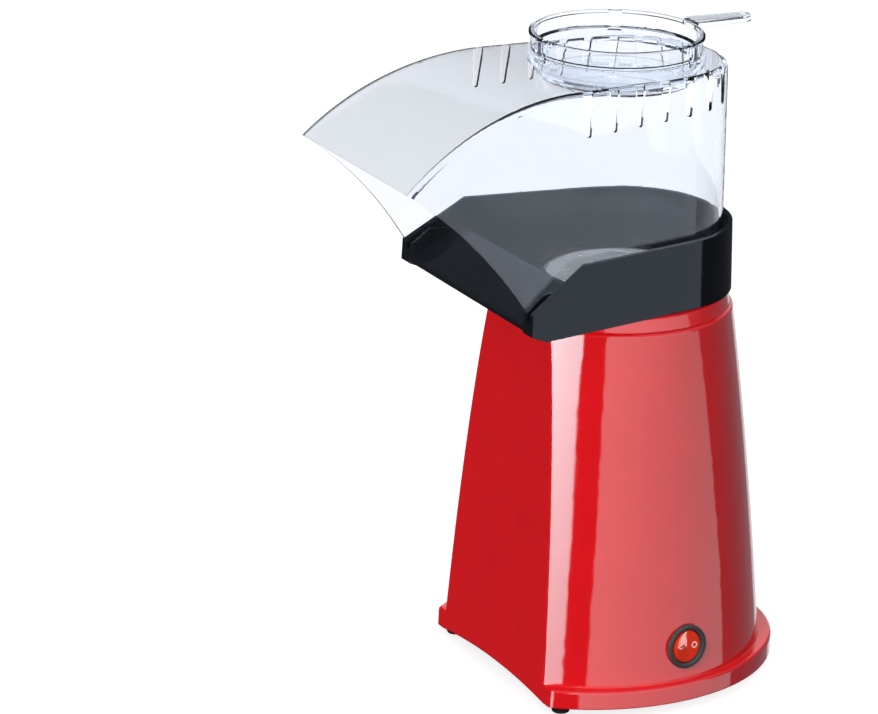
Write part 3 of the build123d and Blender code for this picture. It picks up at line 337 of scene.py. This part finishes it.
def wing_frame(side):
    """Middle of a wing's face, and its two directions and normal; side is 1 or -1."""
    slope = Matrix.Rotation(-side * ROCKER_TILT, 3, rocker_along)
    middle = rocker_pivot + rocker_across * (side * WING_MIDDLE) + rocker_out * WING_HEIGHT
    return middle, slope @ rocker_across, rocker_along, slope @ rocker_out


middle, wide, tall, out = wing_frame(1)
turns = [math.tau * step / RING_STEPS for step in range(RING_STEPS)]
ring_out = [wide * math.cos(turn) + tall * math.sin(turn) for turn in turns]
ring_places = [middle + out * MARK_LIFT + way * OFF_RADIUS for way in ring_out]
ring_band = swept_ring(ring_places, ring_out, [out] * RING_STEPS, OFF_HALF_WIDTH, MARK_HALF_HEIGHT)
ring = mesh_of("rocker_mark_off", *ring_band)
add_piece("rocker_mark_off", ring, "rocker", "white_plastic")

middle, wide, tall, out = wing_frame(-1)
bar_places = []
bar_across = []
for turn in turns:
    end = wide * math.copysign(ON_HALF_LENGTH, math.cos(turn))
    way = wide * math.cos(turn) + tall * math.sin(turn)
    bar_places.append(middle + out * MARK_LIFT + end + way * ON_END_RADIUS)
    bar_across.append(way)
bar_band = swept_ring(bar_places, bar_across, [out] * RING_STEPS, ON_HALF_WIDTH, MARK_HALF_HEIGHT)
bar = mesh_of("rocker_mark_on", *bar_band)
add_piece("rocker_mark_on", bar, "rocker", "white_plastic")

# Seal under the tray, round the lip of the popping chamber.
SEAL_RADIUS = 0.0453
SEAL_MIDDLE = Vector((0, 0.0112, 0.2081))
SEAL_HALF_WIDTH, SEAL_HALF_HEIGHT = 0.0005, 0.0029
mouth_out = [Vector((math.cos(turn), math.sin(turn), 0)) for turn in turns]
mouth_places = [way * SEAL_RADIUS + SEAL_MIDDLE for way in mouth_out]
seal_up = [Vector((0, 0, 1))] * RING_STEPS
seal_band = swept_ring(mouth_places, mouth_out, seal_up, SEAL_HALF_WIDTH, SEAL_HALF_HEIGHT)
seal = mesh_of("mouth_seal", *seal_band)
add_piece("mouth_seal", seal, "tray", "black_matte")

# Heating coil: three rings of wound resistance wire in the place of the plain rings.
coil_low, coil_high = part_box("heater_coils")
COIL_TUBE = 0.0024
COIL_WIRE = 0.00035
COIL_RINGS = 3
COIL_TURNS = 64
TURN_POINTS = 12
coil_radius = (coil_high.x - coil_low.x) / 2 - COIL_TUBE
coil_middle = (coil_low + coil_high) / 2
coil_curve = bpy.data.curves.new("heating_coil", "CURVE")
coil_curve.dimensions = "3D"
coil_curve.bevel_depth = COIL_WIRE
coil_curve.bevel_resolution = 1
coil_curve.use_fill_caps = True
ring_rise = (coil_high.z - coil_low.z - 2 * COIL_TUBE) / (COIL_RINGS - 1)
for level in range(COIL_RINGS):
    ring_height = coil_low.z + COIL_TUBE + level * ring_rise
    wire = coil_curve.splines.new("POLY")
    total = COIL_TURNS * TURN_POINTS
    wire.points.add(total - 1)
    for step in range(total):
        round_ring = math.tau * step / total
        round_wire = math.tau * step / TURN_POINTS
        reach = coil_radius + (COIL_TUBE - COIL_WIRE) * math.cos(round_wire)
        wire.points[step].co = (
            coil_middle.x + reach * math.cos(round_ring),
            coil_middle.y + reach * math.sin(round_ring),
            ring_height + (COIL_TUBE - COIL_WIRE) * math.sin(round_wire),
            1,
        )
    wire.use_cyclic_u = True
coil_curve.materials.append(finishes["coil_wire"])
coil = bpy.data.objects.new("heating_coil", coil_curve)
bpy.context.scene.collection.objects.link(coil)
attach(coil, "base")
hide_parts("heater_coils")

# ------------------------------------------------------------------ stage
FLOOR_HALF = 4.0
floor_mesh = bpy.data.meshes.new("floor")
floor_corners = [(x * FLOOR_HALF, y * FLOOR_HALF, 0) for x, y in ((-1, -1), (1, -1), (1, 1), (-1, 1))]
floor_mesh.from_pydata(floor_corners, [], [(0, 1, 2, 3)])
floor = bpy.data.objects.new("floor", floor_mesh)
bpy.context.scene.collection.objects.link(floor)
floor_material, _, floor_shader = new_material("floor_pale")
floor_shader.inputs["Base Color"].default_value = (0.93, 0.93, 0.93, 1)
floor_shader.inputs["Roughness"].default_value = 0.8
floor_shader.inputs["Specular IOR Level"].default_value = 0.1
floor_shader.inputs["Emission Color"].default_value = (1, 1, 1, 1)
floor_shader.inputs["Emission Strength"].default_value = 0.8
floor_mesh.materials.append(floor_material)
floor.visible_glossy = False
floor.visible_diffuse = False


CARD_DISTANCE = 2.3
CARD_STEPS = 24


def light_card(name, lit, colour, glows, levels, rise=0.0):
    """A tall curved card round the object, seen only in the reflections of the pieces in lit.

    glows are its brightness at its first and last edge, levels are (height, first and last
    direction in degrees), from the bottom up, and rise is how much brighter it is towards its top.
    """
    mesh = bpy.data.meshes.new(name)
    corners = []
    faces = []
    row = CARD_STEPS + 1
    for height, start_deg, end_deg in levels:
        for step in range(row):
            turn = math.radians(start_deg + (end_deg - start_deg) * step / CARD_STEPS)
            corners.append((CARD_DISTANCE * math.cos(turn), CARD_DISTANCE * math.sin(turn), height))
    for level in range(len(levels) - 1):
        for step in range(CARD_STEPS):
            first = level * row + step
            faces.append((first, first + 1, first + row + 1, first + row))
    mesh.from_pydata(corners, [], faces)
    across = mesh.uv_layers.new(name="across")
    for loop in mesh.loops:
        level, step = divmod(loop.vertex_index, row)
        across.data[loop.index].uv = (step / CARD_STEPS, level / (len(levels) - 1))
    card = bpy.data.objects.new(name, mesh)
    bpy.context.scene.collection.objects.link(card)
    material = bpy.data.materials.new(name)
    material.use_nodes = True
    tree = material.node_tree
    tree.nodes.clear()
    output = tree.nodes.new("ShaderNodeOutputMaterial")
    glow = tree.nodes.new("ShaderNodeEmission")
    glow.inputs["Color"].default_value = (*colour, 1)
    see_through = tree.nodes.new("ShaderNodeBsdfTransparent")
    both = tree.nodes.new("ShaderNodeAddShader")
    place = tree.nodes.new("ShaderNodeUVMap")
    split = tree.nodes.new("ShaderNodeSeparateXYZ")
    spread = tree.nodes.new("ShaderNodeMapRange")
    spread.inputs["To Min"].default_value = glows[0]
    spread.inputs["To Max"].default_value = glows[1]
    tree.links.new(place.outputs["UV"], split.inputs["Vector"])
    tree.links.new(split.outputs["X"], spread.inputs["Value"])
    upwards = tree.nodes.new("ShaderNodeMath")
    upwards.operation = "MULTIPLY_ADD"
    upwards.inputs[1].default_value = rise
    upwards.inputs[2].default_value = 1 - rise / 2
    strength = tree.nodes.new("ShaderNodeMath")
    strength.operation = "MULTIPLY"
    tree.links.new(split.outputs["Y"], upwards.inputs[0])
    tree.links.new(spread.outputs["Result"], strength.inputs[0])
    tree.links.new(upwards.outputs["Value"], strength.inputs[1])
    tree.links.new(strength.outputs["Value"], glow.inputs["Strength"])
    tree.links.new(glow.outputs["Emission"], both.inputs[0])
    tree.links.new(see_through.outputs["BSDF"], both.inputs[1])
    tree.links.new(both.outputs["Shader"], output.inputs["Surface"])
    mesh.materials.append(material)
    card.visible_camera = False
    card.visible_diffuse = False
    card.visible_transmission = False
    card.visible_shadow = False
    card.light_linking.receiver_collection = lit


# Upright bands that the red tower mirrors, by direction round the object: a bright one for its
# front edge, a wide one for its side, and two dim ones behind it. The edges lean with the tower.
LEVELS = (-1.6, -0.586, -0.3, -0.016, 1.6)
EDGE_START, EDGE_END = -84, (-44, -44, -48, -56, -56)
WIDE_START, WIDE_END = (-28, -28, -30, -35, -35), (70, 70, 62, 50, 50)
DIM_END, BACK_END = 124, 170


def upright(edge):
    """The same direction at every level."""
    return (edge,) * len(LEVELS)


def bands(starts, ends):
    return list(zip(LEVELS, starts, ends))


light_card(
    "card_front_edge", tower_lit, (0.45, 1, 1.06), (14, 11), bands(upright(EDGE_START), EDGE_END), 0.96
)
light_card("card_wide", tower_lit, (0.85, 1, 1.03), (3.05, 1.7), bands(WIDE_START, WIDE_END))
light_card("card_dim", tower_lit, (1, 1, 1.1), (0.16, 0.3), bands(WIDE_END, upright(DIM_END)))
light_card("card_back", tower_lit, (1, 1, 1), (1.0, 1.0), bands(upright(DIM_END), upright(BACK_END)))

# One soft band for the pieces outside those groups, and a small low one for the rocker's shine.
light_card("card_cool", rest_lit, (0.78, 0.9, 1.12), (1.18, 1.18), bands(upright(-75), upright(58)))
light_card("card_rocker", rocker_lit, (1, 0.93, 0.9), (9, 9), [(-0.62, 57, 69), (-0.05, 57, 69)])

SUN_WIDTH_DEG = 24


def sun(name, lit, energy, azimuth_deg, elevation_deg):
    """A wide soft sun for the pieces in lit, which no surface mirrors, from a direction in degrees."""
    data = bpy.data.lights.new(name, "SUN")
    data.energy = energy
    data.angle = math.radians(SUN_WIDTH_DEG)
    light = bpy.data.objects.new(name, data)
    bpy.context.scene.collection.objects.link(light)
    azimuth, elevation = math.radians(azimuth_deg), math.radians(elevation_deg)
    level = math.cos(elevation)
    shines_from = Vector((level * math.cos(azimuth), level * math.sin(azimuth), math.sin(elevation)))
    light.rotation_euler = shines_from.to_track_quat("Z", "Y").to_euler()
    light.visible_glossy = False
    light.light_linking.receiver_collection = lit
    light.light_linking.blocker_collection = key_blocked


sun("key", key_lit, 2.95, -50, 34)
sun("behind", low_lit, 1.8, 150, 25)

# ------------------------------------------------------------------ world
world = bpy.data.worlds.new("studio")
bpy.context.scene.world = world
world.use_nodes = True
world_tree = world.node_tree
world_tree.nodes.clear()


def background(colour, strength):
    """One colour and strength for the world."""
    node = world_tree.nodes.new("ShaderNodeBackground")
    node.inputs["Color"].default_value = (*colour, 1)
    node.inputs["Strength"].default_value = strength
    return node


def computed(operation, *values):
    """The result of a Math node; values are sockets or numbers."""
    node = world_tree.nodes.new("ShaderNodeMath")
    node.operation = operation
    for place, value in enumerate(values):
        if isinstance(value, (int, float)):
            node.inputs[place].default_value = value
        else:
            world_tree.links.new(value, node.inputs[place])
    return node.outputs["Value"]


def mixed(factor, first, second):
    """One shader where the factor is 0 and the other where it is 1."""
    node = world_tree.nodes.new("ShaderNodeMixShader")
    world_tree.links.new(factor, node.inputs["Fac"])
    world_tree.links.new(first, node.inputs[1])
    world_tree.links.new(second, node.inputs[2])
    return node.outputs["Shader"]


# White behind the object and through the clear pieces; a fill light; and a dim sky in what
# surfaces mirror, bright only high up on the switch side.
backdrop = background((1, 1, 1), 1.0)
fill = background((0.96, 0.98, 1), 0.23)
mirrored = background((0.84, 0.93, 1.06), 1.0)
SKY_SIDE = (0.5, 0, 0.9)
SKY_DIM, SKY_BRIGHT = 0.06, 1.0
direction = world_tree.nodes.new("ShaderNodeTexCoord")
towards_top = world_tree.nodes.new("ShaderNodeVectorMath")
towards_top.operation = "DOT_PRODUCT"
towards_top.inputs[1].default_value = SKY_SIDE
sky = world_tree.nodes.new("ShaderNodeMapRange")
sky.inputs["From Min"].default_value = 0.3
sky.inputs["From Max"].default_value = 0.9
sky.inputs["To Min"].default_value = SKY_DIM
sky.inputs["To Max"].default_value = SKY_BRIGHT
world_tree.links.new(direction.outputs["Generated"], towards_top.inputs[0])
world_tree.links.new(towards_top.outputs["Value"], sky.inputs["Value"])

# The more clear walls a mirrored ray has passed, the brighter the world that it meets.
WALL_GAIN = 0.25
WALL_START = -0.4
ray = world_tree.nodes.new("ShaderNodeLightPath")
through_walls = computed("MULTIPLY_ADD", ray.outputs["Transmission Depth"], WALL_GAIN, WALL_START)
through_walls.node.use_clamp = True
world_tree.links.new(computed("MAXIMUM", through_walls, sky.outputs["Result"]), mirrored.inputs["Strength"])

bounces = computed("ADD", ray.outputs["Diffuse Depth"], ray.outputs["Glossy Depth"])
unbounced = computed("LESS_THAN", bounces, 0.5)
mirrors = ray.outputs["Glossy Depth"]
lit_or_mirrored = mixed(mirrors, fill.outputs["Background"], mirrored.outputs["Background"])
world_output = world_tree.nodes.new("ShaderNodeOutputWorld")
whole_world = mixed(unbounced, lit_or_mirrored, backdrop.outputs["Background"])
world_tree.links.new(whole_world, world_output.inputs["Surface"])

# ------------------------------------------------------------------ camera
camera_data = bpy.data.cameras.new("camera")
camera_data.lens = 174.1
camera_data.sensor_width = 36.0
camera_data.clip_end = 50.0
camera = bpy.data.objects.new("camera", camera_data)
bpy.context.scene.collection.objects.link(camera)
CAMERA_PLACE = Vector((1.7634, -1.0508, 0.8744))
CAMERA_RIGHT = Vector((0.46816, 0.88326, 0.02588))
CAMERA_UP = Vector((-0.30125, 0.13200, 0.94437))
camera_back = CAMERA_RIGHT.cross(CAMERA_UP)
turned = Matrix((CAMERA_RIGHT, CAMERA_UP, camera_back)).transposed().to_4x4()
camera.matrix_world = Matrix.Translation(CAMERA_PLACE) @ turned
bpy.context.scene.camera = camera
bpy.context.scene.view_settings.view_transform = "Standard"
